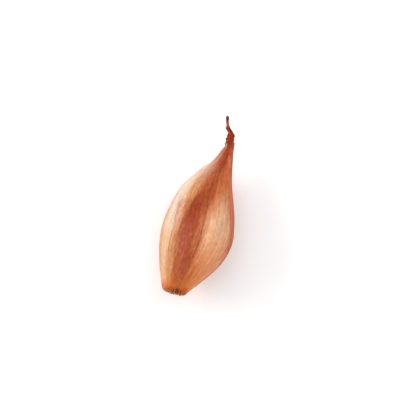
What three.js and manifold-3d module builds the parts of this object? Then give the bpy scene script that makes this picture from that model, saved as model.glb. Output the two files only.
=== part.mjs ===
// A long pink shallot, whole and unpeeled, lying on its belly. Millimetres, +Z up.
// +Y runs from the root end to the dry leaf tip. The origin is the centre of the small flat spot
// that the bulb rests on, which lies under its centre of mass.
//
//   bulb          the bulb in its dry outer skin: soft lengthwise ridges, a pleated neck with a torn mouth
//   dry_leaf_tip  the withered, twisted leaf that stands out of the neck's mouth, with its torn shreds
//   root_tuft     the corky root plate and the dead root stubs that grow from it

import * as THREE from "three";
import { mergeVertices } from "three/addons/utils/BufferGeometryUtils.js";
import Module from "manifold-3d";

// ---------------------------------------------------------------- driving dimensions, millimetres

const BELLY_RADIUS = 19; // half of the widest breadth
const SKIN_LENGTH = 82; // from the first station, at the root end, to the neck's mouth
const DEPTH_SHARE = 0.97; // the bulb is this much thinner from top to bottom than across
const REST_PLACE = 33.4; // the flat spot's centre, from the first station
const FLAT_DEPTH = 0.35; // how far the belly is pressed flat where it lies
const FIT_GAP = 0.35; // clearance behind a piece that grows out of another
const PLATE_CLEARANCE = 0.5; // clearance round the root plate

// The bulb at nine stations, at equal steps from roots to mouth, as shares of the belly radius:
// [half breadth, sideways sway of the centre line, its rise]
const STATIONS = [
  [0.38, -0.035, 0.073],
  [0.678, 0.002, 0.059],
  [0.896, 0.03, 0.034],
  [0.982, 0.036, 0],
  [0.912, -0.018, -0.029],
  [0.76, -0.076, -0.049],
  [0.508, -0.078, -0.053],
  [0.249, 0.004, -0.048],
  [0.113, 0.006, -0.042],
];

// Lengthwise ridges of the skin: how many go round, their height on the belly, where the first one is
const RIDGES = [
  { count: 3, height: 0.22, first: 0.5 },
  { count: 5, height: 0.24, first: 2.1 },
  { count: 8, height: 0.2, first: 0.7 },
  { count: 13, height: 0.13, first: 4.0 },
];

const PLEATS = { count: 7, share: 0.13, twist: 2.4 }; // gathers of the neck, as a share of its radius
const PLEATS_START = 0.66; // where they begin, as a share of the length
const MOUTH_START = 0.95; // where the mouth's torn edge begins, as a share of the length
const MOUTH_WALL = 0.72; // inside of the mouth, as a share of its outside
const MOUTH_DEPTH = 2.6;
const MOUTH_SLANT = 1.3; // its right side stands this far up, and its left side this far down
const MOUTH_TEARS = 0.5; // how far its torn edge runs up and down

// The skin turning in round the roots: [share of its radius, distance from the bulb's first station]
const RIM_ROWS = [
  [0.75, -1.6],
  [0.82, -1.5],
  [0.89, -1.15],
  [0.95, -0.6],
];
const RECESS_SHARE = 0.7; // the hollow that the root plate sits in, as a share of the skin's radius
const RECESS_FLOOR = 0.3; // its floor, from the first station
const RIM_EDGE = 0.25; // the rim's inner corner is cut back by this

const LEAF_SEAT = 2.0; // how deep the leaf tip sits in the mouth
// The leaf tip's centre line past the mouth: [along, sideways, up]
const LEAF_PATH = [
  [-LEAF_SEAT, 0.2, -0.8],
  [0.4, -0.05, -0.6],
  [2.6, -0.7, -0.3],
  [5.0, -1.4, 0.4],
  [7.6, -3.0, 1.3],
  [10.2, -5.15, 1.8],
  [12.6, -6.1, 1.8],
  [14.3, -6.1, 1.4],
];
// Its section at nine equal steps along that path: [half width, half thickness, radians it has twisted]
const LEAF_SECTIONS = [
  [0.95, 0.9, 0],
  [1.1, 1.0, 0],
  [2.3, 1.25, 0.1],
  [2.3, 1.0, 0.35],
  [1.8, 0.8, 0.8],
  [1.0, 0.65, 1.3],
  [0.66, 0.55, 1.8],
  [0.98, 0.85, 2.2],
  [0.4, 0.36, 2.6],
];
const LEAF_FOLDS = { count: 5, share: 0.16, start: 0.12, full: 0.4 }; // and where they start and are full

// Torn shreds on the leaf tip: where on its path, which way they stand off (radians), their length
const SHREDS = [
  { at: 0.33, turn: 2.9, length: 2.2 },
  { at: 0.4, turn: 0.2, length: 1.9 },
  { at: 0.58, turn: 3.3, length: 2.4 },
];
const SHRED_HALF_WIDTH = 0.55;
const SHRED_HALF_THICKNESS = 0.34;
const SHRED_CURL = 0.9; // how far it bends back along the leaf, as a share of its length
const SHRED_TAPER = 0.6; // its end, as a share of its start

const ROOT_COUNT = 72;
const ROOT_LENGTHS = [0.55, 1.15]; // shortest and longest root stub, past the plate
const ROOT_RADII = [0.36, 0.26]; // at the plate and at the broken end
const ROOT_SINK = 0.7; // how deep a stub's base is sunk into the plate
const ROOT_SPLAY = [0.1, 0.6]; // how far it leans outwards for each millimetre, in the middle and at the edge
const ROOT_SCATTER = 0.15; // and how far that varies
const ROOT_BEND = [0.15, 0.5]; // how far it curls outwards for each millimetre, least and most
const PLATE_DOME = 0.85; // how far the plate swells out past its edge
const PLATE_SINK = 0.4; // how far its edge lies inside the skin's rim
const SEED = 11;

// Facets: round and along the bulb, and for the small pieces
const BULB_FACETS = [52, 36];
const LEAF_FACETS = [16, 28];
const SHRED_FACETS = [6, 4];
const ROOT_FACETS = [5, 2];
const PLATE_FACETS = [24, 6];
const SMALLEST_STEP = 0.002; // edges shorter than this, left by a join, are closed up

// ---------------------------------------------------------------- materials

const skinFinish = new THREE.MeshStandardMaterial({ color: 0xc57b52, roughness: 0.42, metalness: 0 });
const leafFinish = new THREE.MeshStandardMaterial({ color: 0x7d3b22, roughness: 0.75, metalness: 0 });
const rootFinish = new THREE.MeshStandardMaterial({ color: 0xae8650, roughness: 0.9, metalness: 0 });

// ---------------------------------------------------------------- solids

const wasm = await Module();
wasm.setup();

// A closed geometry as a manifold solid.
function solidOf(geometry) {
  const bare = geometry.clone();
  bare.deleteAttribute("normal");
  bare.deleteAttribute("uv");
  const merged = mergeVertices(bare, 1e-4);
  const vertProperties = new Float32Array(merged.attributes.position.array);
  const triVerts = new Uint32Array(merged.index.array);
  return new wasm.Manifold(new wasm.Mesh({ numProp: 3, vertProperties, triVerts }));
}

// A manifold solid as a geometry.
function geometryOf(solid) {
  const { vertProperties, triVerts } = solid.getMesh();
  const geometry = new THREE.BufferGeometry();
  geometry.setAttribute("position", new THREE.BufferAttribute(vertProperties, 3));
  geometry.setIndex(new THREE.BufferAttribute(triVerts, 1));
  geometry.computeVertexNormals();
  return geometry;
}

// Several solids as one, without the slivers that joining leaves.
function joined(solids) {
  return solids.reduce((whole, solid) => whole.add(solid)).simplify(SMALLEST_STEP);
}

// Moves every vertex of a geometry of revolution round Y: place(angle, radius, y) gives its new point.
function reshape(geometry, place) {
  const points = geometry.attributes.position;
  for (let i = 0; i < points.count; i++) {
    const x = points.getX(i);
    const z = points.getZ(i);
    const moved = place(Math.atan2(z, x), Math.hypot(x, z), points.getY(i));
    points.setXYZ(i, moved.x, moved.y, moved.z);
  }
  return geometry;
}

// A seeded draw of numbers from 0 to 1, the same on each run.
function draws(seed) {
  let state = seed;
  return () => {
    state = (state * 16807) % 2147483647;
    return state / 2147483647;
  };
}

// Rows of three values at equal steps as one smooth curve from 0 to 1.
function smoothRows(rows) {
  return new THREE.CatmullRomCurve3(rows.map((row) => new THREE.Vector3(...row)), false, "catmullrom", 0.5);
}

const { smoothstep, lerp, clamp } = THREE.MathUtils;

// ---------------------------------------------------------------- the bulb in its dry skin

const stations = smoothRows(STATIONS);

// The centre line and radius of the skin at a share of its length, in the bulb's own frame.
function station(share) {
  const [breadth, sway, rise] = stations.getPoint(clamp(share, 0, 1)).toArray();
  return { radius: breadth * BELLY_RADIUS, x: sway * BELLY_RADIUS, z: rise * BELLY_RADIUS };
}

// How far the ridges and the neck's pleats lift the skin, as a factor on its radius.
function skinRelief(angle, share) {
  const ridges = RIDGES.reduce(
    (sum, ridge) => sum + (ridge.height / BELLY_RADIUS) * Math.cos(ridge.count * (angle - ridge.first)),
    0,
  );
  const gathered = smoothstep(share, PLEATS_START, 1);
  const pleats = PLEATS.share * gathered * Math.cos(PLEATS.count * angle + PLEATS.twist * gathered);
  return 1 + ridges + pleats;
}

// How far the slanted, torn edge of the mouth is moved along the bulb.
function mouthTear(angle, share) {
  const waves = Math.cos(3 * angle + 0.6) + 0.7 * Math.cos(5 * angle + 2.2);
  return (MOUTH_SLANT * Math.cos(angle) + MOUTH_TEARS * waves) * smoothstep(share, MOUTH_START, 1);
}

function skinPoint(angle, wallShare, y) {
  const share = y / SKIN_LENGTH;
  const { radius, x, z } = station(share);
  const r = radius * wallShare * skinRelief(angle, share);
  return new THREE.Vector3(
    x + r * Math.cos(angle),
    y + mouthTear(angle, share) * wallShare,
    z + r * Math.sin(angle) * DEPTH_SHARE,
  );
}

// The profile holds [share of the skin's radius, distance from the first station], from axis to axis.
function bulbProfile() {
  const [, rows] = BULB_FACETS;
  const [[, rimEnd]] = RIM_ROWS;
  const outside = Array.from({ length: rows + 1 }, (_, row) => [1, (SKIN_LENGTH * row) / rows]);
  return [
    [0, RECESS_FLOOR],
    [RECESS_SHARE, RECESS_FLOOR],
    [RECESS_SHARE, rimEnd + RIM_EDGE],
    ...RIM_ROWS,
    ...outside,
    [MOUTH_WALL, SKIN_LENGTH],
    [MOUTH_WALL, SKIN_LENGTH - MOUTH_DEPTH],
    [0, SKIN_LENGTH - MOUTH_DEPTH],
  ].map(([share, y]) => new THREE.Vector2(share, y));
}

const bulbSkin = reshape(new THREE.LatheGeometry(bulbProfile(), BULB_FACETS[0]), skinPoint);
bulbSkin.computeBoundingBox();
const restHeight = -bulbSkin.boundingBox.min.z - FLAT_DEPTH; // the centre line above the surface

// The flat spot: everything below the surface that the bulb lies on is taken off.
function pressedFlat(geometry) {
  const under = new THREE.BoxGeometry(2 * SKIN_LENGTH, 2 * SKIN_LENGTH, BELLY_RADIUS);
  under.translate(0, SKIN_LENGTH / 2, -restHeight - BELLY_RADIUS / 2);
  return geometryOf(solidOf(geometry).subtract(solidOf(under)));
}

const bulb = new THREE.Mesh(pressedFlat(bulbSkin), skinFinish);
bulb.name = "bulb";

// ---------------------------------------------------------------- the dry leaf tip

const leafPath = new THREE.CatmullRomCurve3(
  LEAF_PATH.map(([along, across, up]) => new THREE.Vector3(across, SKIN_LENGTH + along, up)),
);
const leafSections = smoothRows(LEAF_SECTIONS);

// Two directions square to a path, one of them level.
function sidesOf(direction) {
  const level = new THREE.Vector3().crossVectors(direction, THREE.Object3D.DEFAULT_UP).normalize();
  if (level.lengthSq() === 0) level.set(1, 0, 0);
  return [level, new THREE.Vector3().crossVectors(level, direction).normalize()];
}

// A point round the leaf: a flat, folded section that twists along the path.
function leafPoint(angle, wallShare, y) {
  const share = clamp(y + 0.5, 0, 1);
  const centre = leafPath.getPoint(share);
  const [level, upright] = sidesOf(leafPath.getTangent(share));
  const [halfWidth, halfThickness, turn] = leafSections.getPoint(share).toArray();
  const folded = smoothstep(share, LEAF_FOLDS.start, LEAF_FOLDS.full);
  const folds = 1 + LEAF_FOLDS.share * folded * Math.cos(LEAF_FOLDS.count * angle);
  const width = halfWidth * folds * wallShare * Math.cos(angle);
  const thickness = halfThickness * folds * wallShare * Math.sin(angle);
  return centre
    .addScaledVector(level, width * Math.cos(turn) - thickness * Math.sin(turn))
    .addScaledVector(upright, width * Math.sin(turn) + thickness * Math.cos(turn));
}

// One curled shred: it leaves the leaf sideways and bends back along it to a point.
function shredSolid({ at, turn, length }) {
  const [sides, steps] = SHRED_FACETS;
  const direction = leafPath.getTangent(at);
  const [level, upright] = sidesOf(direction);
  const off = level.clone().multiplyScalar(Math.cos(turn)).addScaledVector(upright, Math.sin(turn));
  const broad = new THREE.Vector3().crossVectors(off, direction).normalize();
  const base = leafPath.getPoint(at);
  const path = new THREE.QuadraticBezierCurve3(
    base,
    base.clone().addScaledVector(off, length * SHRED_CURL),
    base.clone().addScaledVector(off, length).addScaledVector(direction, length * SHRED_CURL),
  );
  const shred = reshape(new THREE.CylinderGeometry(1, 1, 1, sides, steps), (angle, wallShare, y) => {
    const share = y + 0.5;
    const taper = wallShare * lerp(1, SHRED_TAPER, share);
    const flat = new THREE.Vector3().crossVectors(broad, path.getTangent(share)).normalize();
    return path
      .getPoint(share)
      .addScaledVector(broad, SHRED_HALF_WIDTH * taper * Math.cos(angle))
      .addScaledVector(flat, SHRED_HALF_THICKNESS * taper * Math.sin(angle));
  });
  return solidOf(shred);
}

const leafBlade = reshape(new THREE.CylinderGeometry(1, 1, 1, ...LEAF_FACETS), leafPoint);
const leafSolid = joined([solidOf(leafBlade), ...SHREDS.map(shredSolid)]);
const dryLeafTip = new THREE.Mesh(geometryOf(leafSolid), leafFinish);
dryLeafTip.name = "dry_leaf_tip";

// ---------------------------------------------------------------- the root plate and its root stubs

const rootEnd = station(0);
const plateRadius = rootEnd.radius * RECESS_SHARE - PLATE_CLEARANCE;
const plateEdge = RIM_ROWS[0][1] + PLATE_SINK;
const plateBack = RECESS_FLOOR - FIT_GAP - plateEdge;

// The plate: a shallow dome, with its back in the skin's hollow. Its edge is at 0 along Y.
function plateSolid() {
  const [sides, steps] = PLATE_FACETS;
  const dome = Array.from({ length: steps + 1 }, (_, step) => {
    const turn = (step / steps) * (Math.PI / 2);
    return new THREE.Vector2(plateRadius * Math.sin(turn), -PLATE_DOME * Math.cos(turn));
  });
  const back = new THREE.Vector2(plateRadius, plateBack);
  const middle = new THREE.Vector2(0, plateBack);
  return solidOf(new THREE.LatheGeometry([...dome, back, middle], sides));
}

// One root stub: it leaves the dome steeply near the middle and splays outwards towards the edge.
function rootSolid(index, draw) {
  const [sides, steps] = ROOT_FACETS;
  const share = Math.sqrt((index + 0.5) / ROOT_COUNT);
  const turn = index * Math.PI * (3 - Math.sqrt(5));
  const out = new THREE.Vector3(Math.cos(turn), 0, Math.sin(turn));
  const reach = share * (plateRadius - 2 * ROOT_RADII[0]);
  const base = out.clone().multiplyScalar(reach).setY(-PLATE_DOME * Math.sqrt(1 - share * share));
  const splay = lerp(...ROOT_SPLAY, share) + lerp(-ROOT_SCATTER, ROOT_SCATTER, draw());
  const direction = new THREE.Vector3(0, -1, 0).addScaledVector(out, splay).normalize();
  const bend = out.clone().multiplyScalar(lerp(...ROOT_BEND, draw() * share));
  const [level, upright] = sidesOf(direction);
  const length = lerp(...ROOT_LENGTHS, draw());
  const stub = reshape(new THREE.CylinderGeometry(1, 1, 1, sides, steps), (angle, wallShare, y) => {
    const along = lerp(-ROOT_SINK, length, y + 0.5);
    const radius = wallShare * lerp(...ROOT_RADII, y + 0.5);
    return base
      .clone()
      .addScaledVector(direction, along)
      .addScaledVector(bend, Math.max(0, along) ** 2 / length)
      .addScaledVector(level, radius * Math.cos(angle))
      .addScaledVector(upright, radius * Math.sin(angle));
  });
  return solidOf(stub);
}

const draw = draws(SEED);
const roots = Array.from({ length: ROOT_COUNT }, (_, index) => rootSolid(index, draw));
const rootTuft = new THREE.Mesh(geometryOf(joined([plateSolid(), ...roots])), rootFinish);
rootTuft.name = "root_tuft";
rootTuft.position.set(rootEnd.x, plateEdge, rootEnd.z);

// ---------------------------------------------------------------- the whole shallot, lying down

const shallot = new THREE.Group();
shallot.add(bulb, dryLeafTip, rootTuft);
shallot.position.set(0, -REST_PLACE, restHeight);

export default shallot;
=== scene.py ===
"""A long pink shallot, whole and unpeeled, lying on its belly.

Metres, +Z up. +Y runs from the root end to the dry leaf tip, and the origin is the flat spot that the
bulb lies on. Places round the bulb are in degrees from its right side, with 90 on top and 180 at its left.
Places along it are shares of the way from its first station, at the roots, to the mouth of its neck.
"""

import math

import bmesh
import bpy
import numpy as np
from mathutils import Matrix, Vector


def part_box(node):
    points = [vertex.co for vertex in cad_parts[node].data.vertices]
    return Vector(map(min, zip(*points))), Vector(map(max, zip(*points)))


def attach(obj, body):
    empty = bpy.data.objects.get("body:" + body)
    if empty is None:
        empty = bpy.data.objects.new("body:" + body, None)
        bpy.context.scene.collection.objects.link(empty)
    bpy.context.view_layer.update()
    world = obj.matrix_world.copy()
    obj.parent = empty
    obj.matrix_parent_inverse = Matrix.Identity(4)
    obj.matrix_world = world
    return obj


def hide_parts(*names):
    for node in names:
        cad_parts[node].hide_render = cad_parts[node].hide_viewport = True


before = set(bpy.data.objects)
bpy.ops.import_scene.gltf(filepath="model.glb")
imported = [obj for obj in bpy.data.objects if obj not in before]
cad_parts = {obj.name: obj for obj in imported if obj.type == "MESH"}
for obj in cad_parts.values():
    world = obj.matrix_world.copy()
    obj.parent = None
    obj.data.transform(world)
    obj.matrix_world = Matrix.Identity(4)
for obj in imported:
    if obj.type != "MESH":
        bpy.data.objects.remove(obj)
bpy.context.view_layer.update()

# ---------------------------------------------------------------- the bulb in its dry skin
# The whole bulb as it grew, wrapped in its outermost scales, which have dried to a thin coppery paper.
# Their veins run from the root plate up into the neck, where the skin is gathered in pleats and ends in a
# torn mouth.

BELLY_RADIUS = 0.019
SKIN_LENGTH = 0.082  # from the first station to the mouth
DEPTH_SHARE = 0.97  # top to bottom, as a share of side to side
FLAT_DEPTH = 0.00035  # how far the belly is pressed flat where it lies

# The bulb's nine stations, at equal steps, as shares of the belly radius: half breadth, sway, rise
SKIN_STATIONS = [
    [0.38, -0.035, 0.073],
    [0.678, 0.002, 0.059],
    [0.896, 0.03, 0.034],
    [0.982, 0.036, 0],
    [0.912, -0.018, -0.029],
    [0.76, -0.076, -0.049],
    [0.508, -0.078, -0.053],
    [0.249, 0.004, -0.048],
    [0.084, 0.017, -0.042],
]
# Broad swellings over the fleshy scales: how many go round, their height, where the first is in radians
SWELLINGS = [(3, 0.00022, 0.5), (5, 0.00024, 2.1), (8, 0.0002, 0.7), (13, 0.00013, 4.0)]
# Edges of scales that show through the skin: where they run, their half width, their height
SCALE_EDGES = [
    (132, 2.6, 0.00022),
    (119, 2.2, 0.00012),
    (79, 2.8, 0.00018),
    (68, 2.4, 0.0001),
    (31, 3.4, 0.0002),
    (4, 2.6, 0.00014),
    (-38, 3.0, 0.0002),
    (-71, 2.6, 0.00014),
    (-118, 3.2, 0.0002),
    (-163, 2.8, 0.00018),
    (163, 2.4, 0.00014),
]
# Lumps of the skin, as for lumps() below: their seed, how many lie round and along, their height
DENTS = (3, (9, 11), 0.00016)
VEINS = [(4, (190, 7), 0.00004), (5, (74, 4), 0.00006)]
DENTS_START, SCALE_EDGES_START = 0.06, 0.12  # how far from the roots they are at their full height

# Gathers of the neck: how many go round, their share of its radius, their twist in radians
PLEATS = [(7, 0.13, 2.4), (15, 0.05, 3.4), (26, 0.035, 1.2)]
PLEATS_START = 0.66
VEINS_LOST, EDGES_LOST = 0.5, 0.7  # the share of the veins and of the scale edges that is lost in them
MOUTH_START = 0.95  # where the torn edge of the mouth begins
MOUTH_SLANT = 0.0007  # its right side stands this far up, and its left side this far down
MOUTH_WAVES = [(3, 0.0005, 0.6), (5, 0.00035, 2.2)]  # of its torn edge: how many, their height, their phase
MOUTH_TEETH = (7, (34, 3), 0.00034)  # lumps for the small teeth of its edge

RIM_FRAY = 0.002  # how far up the skin its rim round the roots is frayed
RIM_TUCK = 0.06  # how much closer the rim's left side is tucked in, as a share of its radius
RIM_TEETH = (9, (72, 2), 0.00028)  # lumps for its frayed edge
# Flaps of it that hang down, and a notch that stands up: place, half width, how far down
RIM_DROOPS = [(133, 36, 0.0015), (24, 22, 0.0005), (66, 24, -0.0008), (238, 36, 0.0014)]

# The skin turning in round the roots, from its rim: share of its radius, distance from the first station
RIM_CURVE = [
    [0.75, -0.0016],
    [0.82, -0.0015],
    [0.89, -0.00115],
    [0.95, -0.0006],
    [1.0, 0.0],
]
RIM_INSIDE = [(0.7, 0.0003), (0.7, -0.0009), (0.702, -0.0013), (0.72, -0.00152)]
RIM_STEPS = 14
# Rows that turn in at the mouth: share of the skin's radius, distance from the mouth
MOUTH_ROWS = [
    (0.985, 0.00003),
    (0.955, 0.0),
    (0.92, -0.0003),
    (0.88, -0.0009),
    (0.82, -0.0016),
    (0.74, -0.0024),
]
SKIN_COLUMNS = 440
SKIN_ROWS = 186
ROW_CROWDING = 0.06  # how much closer the rows are towards both ends


def smooth_rows(rows, share):
    """Rows of values at equal steps from 0 to 1, read off a smooth curve through them."""
    rows = np.asarray(rows, float)
    padded = np.vstack([2 * rows[0] - rows[1], rows, 2 * rows[-1] - rows[-2]])
    place = np.clip(share, 0, 1) * (len(rows) - 1)
    step = np.minimum(place.astype(int), len(rows) - 2)
    t = (place - step)[..., None]
    a, b, c, d = (padded[step + k] for k in range(4))
    return b + 0.5 * t * (c - a + t * (2 * a - 5 * b + 4 * c - d + t * (3 * b - 3 * c + d - a)))


def ease(value, low=0.0, high=1.0):
    """0 below low and 1 above high, with a smooth turn between them."""
    t = np.clip((value - low) / (high - low), 0, 1)
    return t * t * (3 - 2 * t)


def lumps(kind, turn, along):
    """Smooth random lumps up and down. turn and along run from 0 to 1, and turn closes on itself."""
    seed, (round_cells, along_cells), height = kind
    heights = np.random.default_rng(seed).uniform(-1, 1, (along_cells + 1, round_cells))
    u = np.mod(turn, 1) * round_cells
    v = np.clip(along, 0, 1) * along_cells
    i = np.floor(u).astype(int)
    j = np.minimum(v.astype(int), along_cells - 1)
    across, up = ease(u - i), ease(v - j)
    left, right = i % round_cells, (i + 1) % round_cells
    near = heights[j, left] * (1 - across) + heights[j, right] * across
    far = heights[j + 1, left] * (1 - across) + heights[j + 1, right] * across
    return height * (near * (1 - up) + far * up)


def degrees_off(degrees, place):
    """How far an angle is from a place round the bulb, from -180 to 180."""
    return np.mod(degrees - place + 180, 360) - 180


def ridges(angle, kinds):
    """Height of rounded ridges that run along. kinds gives the place, half width and top of each."""
    height = 0
    for place, half_width, top in kinds:
        height = height + top * np.exp(-(degrees_off(np.degrees(angle), place) / half_width) ** 2)
    return height


def skin_at(angle, along, wall=1.0):
    """Points of the skin at these angles and distances from the first station, before it is set down."""
    share = along / SKIN_LENGTH
    breadth, sway, rise = np.moveaxis(smooth_rows(SKIN_STATIONS, share) * BELLY_RADIUS, -1, 0)
    gathered = ease(share, PLEATS_START, 1)
    torn = ease(share, MOUTH_START, 1)
    turn = angle / math.tau

    factor = 1
    for count, height, first in SWELLINGS:
        factor = factor + height / BELLY_RADIUS * np.cos(count * (angle - first))
    for count, height, twist in PLEATS:
        factor = factor + height * gathered * np.cos(count * angle + twist * gathered)

    relief = lumps(DENTS, turn, share) * (1 - gathered) * ease(share, 0, DENTS_START)
    for vein in VEINS:
        relief = relief + lumps(vein, turn, share) * (1 - VEINS_LOST * gathered)
    edges = ridges(angle, SCALE_EDGES) * (1 - EDGES_LOST * gathered)
    relief = relief + edges * ease(share, 0, SCALE_EDGES_START)
    frayed = 1 - ease(along, RIM_CURVE[0][1], RIM_CURVE[0][1] + RIM_FRAY)
    leftness = 0.5 - 0.5 * np.cos(angle)
    radius = (breadth * factor + relief) * wall * (1 - RIM_TUCK * leftness * frayed)

    tear = MOUTH_SLANT * np.cos(angle) + lumps(MOUTH_TEETH, turn, share)
    for count, height, first in MOUTH_WAVES:
        tear = tear + height * np.cos(count * angle + first)
    tear = tear * torn
    fray = (lumps(RIM_TEETH, turn, share) - ridges(angle, RIM_DROOPS)) * frayed
    return np.stack(
        [
            sway + radius * np.cos(angle),
            along + tear + fray,
            rise + radius * np.sin(angle) * DEPTH_SHARE,
        ],
        axis=-1,
    )


def with_ends(values):
    """Values at each point of some rings, as a list that ends with their means over both end rings."""
    flat = values.reshape(-1, *values.shape[2:])
    return np.concatenate([flat, values[[0, -1]].mean(axis=1)])


def closed_faces(rows, columns, start):
    """Faces of a closed form made of rings, each end closed to its middle. start is its first point."""
    index = start + np.arange(rows * columns).reshape(rows, columns)
    ahead = np.roll(index, -1, axis=1)
    sides = np.stack([index[:-1], index[1:], ahead[1:], ahead[:-1]], axis=-1).reshape(-1, 4).tolist()
    first, last = start + rows * columns, start + rows * columns + 1
    near_end = [(first, a, b) for a, b in zip(index[0].tolist(), ahead[0].tolist())]
    far_end = [(last, b, a) for a, b in zip(index[-1].tolist(), ahead[-1].tolist())]
    return sides + near_end + far_end


def put(name, data):
    """Puts a mesh, a lamp or a camera in the scene."""
    thing = bpy.data.objects.new(name, data)
    bpy.context.scene.collection.objects.link(thing)
    return thing


def make_piece(name, forms, finish):
    """A smooth piece that rides on the shallot's one body. Each of its closed forms is given by its rings
    and by the values at their points that its finish reads."""
    points, faces, values = np.empty((0, 3)), [], {}
    for rings, form_values in forms:
        faces += closed_faces(*rings.shape[:2], len(points))
        points = np.concatenate([points, with_ends(rings)])
        for key, value in form_values.items():
            at_points = np.broadcast_to(value, rings.shape[:2] + np.shape(value)[2:])
            values.setdefault(key, []).append(with_ends(at_points))
    mesh = bpy.data.meshes.new(name)
    mesh.from_pydata(points.tolist(), [], faces)
    for key, lists in values.items():
        value = np.concatenate(lists).astype(np.float32)
        kind, field = ("FLOAT_VECTOR", "vector") if value.ndim == 2 else ("FLOAT", "value")
        mesh.attributes.new(key, kind, "POINT").data.foreach_set(field, value.ravel())
    shape = bmesh.new()
    shape.from_mesh(mesh)
    bmesh.ops.recalc_face_normals(shape, faces=shape.faces)
    shape.to_mesh(mesh)
    shape.free()
    mesh.shade_smooth()
    mesh.materials.append(finish)
    piece = put(name, mesh)
    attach(piece, "root")
    return piece


def colour(red, green, blue):
    """A paint mixer's red, green and blue from 0 to 255, as the shader's linear colour."""
    return *(((c / 255 + 0.055) / 1.055) ** 2.4 if c > 10 else c / 3295 for c in (red, green, blue)), 1.0


class Finish:
    """A finish made of shader nodes, with short words for the nodes that it uses."""

    def __init__(self, name):
        self.material = bpy.data.materials.new(name)
        self.material.use_nodes = True
        self.tree = self.material.node_tree
        self.surface = self.tree.nodes["Principled BSDF"]

    def node(self, kind, *inputs, **settings):
        """A node with its inputs in order: numbers, colours, other nodes' outputs or None."""
        node = self.tree.nodes.new(kind)
        for key, value in settings.items():
            setattr(node, key, value)
        sockets = [socket for socket in node.inputs if socket.enabled]
        for socket, value in zip(sockets, inputs):
            self.join(socket, value)
        return next(socket for socket in node.outputs if socket.enabled)

    def join(self, socket, value):
        if isinstance(value, bpy.types.NodeSocket):
            self.tree.links.new(value, socket)
        elif value is not None:
            socket.default_value = value

    def fill(self, node, values):
        """Gives a node's inputs their values by the names of their sockets."""
        for name, value in values.items():
            self.join(node.inputs[name], value)

    def attribute(self, name, output="Fac"):
        node = self.tree.nodes.new("ShaderNodeAttribute")
        node.attribute_name = name
        return node.outputs[output]

    def place(self):
        """Where a point is on the piece, in metres."""
        return self.tree.nodes.new("ShaderNodeTexCoord").outputs["Object"]

    def stretched(self, where, *factors):
        return self.node("ShaderNodeVectorMath", where, factors, operation="MULTIPLY")

    def noise(self, where, detail=2.0, roughness=0.5, scale=1.0):
        node = self.tree.nodes.new("ShaderNodeTexNoise")
        self.fill(node, {"Vector": where, "Detail": detail, "Roughness": roughness, "Scale": scale})
        return node.outputs["Fac"]

    def fade(self, value, low, high, at_low=0.0, at_high=1.0):
        """at_low up to low and at_high from high on, with a smooth turn between them."""
        return self.node(
            "ShaderNodeMapRange", value, low, high, at_low, at_high, interpolation_type="SMOOTHSTEP"
        )

    def mix(self, tone, paint, *shares, blend="MIX"):
        """A tone with a paint laid over it, as strongly as the product of the shares."""
        share = shares[0]
        for factor in shares[1:]:
            share = self.node("ShaderNodeMath", share, factor, operation="MULTIPLY")
        node = self.tree.nodes.new("ShaderNodeMix")
        node.data_type = "RGBA"
        node.blend_type = blend
        self.join(next(socket for socket in node.inputs if socket.enabled), share)
        first, second = (socket for socket in node.inputs if socket.enabled and socket.type == "RGBA")
        self.join(first, tone)
        self.join(second, paint)
        return next(socket for socket in node.outputs if socket.enabled)

    def shaded(self, tone, *factors):
        """A tone made darker or lighter by each factor."""
        for factor in factors:
            tone = self.node("ShaderNodeVectorMath", tone, None, None, factor, operation="SCALE")
        return tone

    def bump(self, height, distance, under=None):
        node = self.tree.nodes.new("ShaderNodeBump")
        self.fill(node, {"Height": height, "Distance": distance, "Normal": under})
        return node.outputs["Normal"]

    def set(self, values):
        """Gives the surface its values, and returns the finished material."""
        self.fill(self.surface, values)
        return self.material


# The film paints: the skin's pale outer film, with the soft lights' highlights painted into it, white where
# brightest, pink and dusky where they fade.
FILM_AND_HIGHLIGHT = colour(219, 199, 177)
WHITE_FILM_AND_HIGHLIGHT = colour(226, 206, 192)
PINK_FILM_AND_HIGHLIGHT = colour(206, 164, 148)
DUSKY_FILM_AND_HIGHLIGHT = colour(198, 146, 118)
CREAM = colour(214, 173, 134)
GOLD = colour(214, 152, 92)
# pale peach: partly the skin's own pale tone, partly a painted highlight of the light at the right
PALE_PEACH = colour(248, 206, 163)
PEACH = colour(242, 167, 120)
ORANGE = colour(240, 140, 68)
COPPER = colour(197, 108, 60)
TAN = colour(197, 108, 58)
ROSE = colour(200, 96, 50)
PALE_ROSE = colour(214, 122, 84)
BAND_ORANGE = colour(189, 99, 54)
BAND_PINK = colour(161, 69, 44)
BAND_BROWN = colour(150, 60, 22)
BAND_RUST = colour(150, 58, 25)
NECK_RUST = colour(157, 47, 23)
RIM_ORANGE = colour(212, 108, 44)
RIM_RED = colour(236, 52, 22)
BURNT = colour(78, 36, 16)
LINE_BROWN = colour(124, 70, 46)
DARK_VEIN = colour(128, 50, 26)
DARK_RUST = colour(142, 58, 26)
THICK_SKIN = colour(248, 232, 212)  # what thicker spots of the skin let through
FLUSHED_SKIN = colour(252, 240, 238)  # and what pinker ones do
SPOT_GREY = colour(158, 136, 100)

SKIN_GROUND = [ORANGE, COPPER, COPPER, COPPER, TAN, TAN, NECK_RUST]  # from the roots to the mouth
BROWN_BAND = [BAND_ORANGE, BAND_PINK, BAND_BROWN, BAND_RUST, NECK_RUST]
PEACH_BAND = [ORANGE, PEACH, PALE_PEACH, TAN, TAN]
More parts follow.
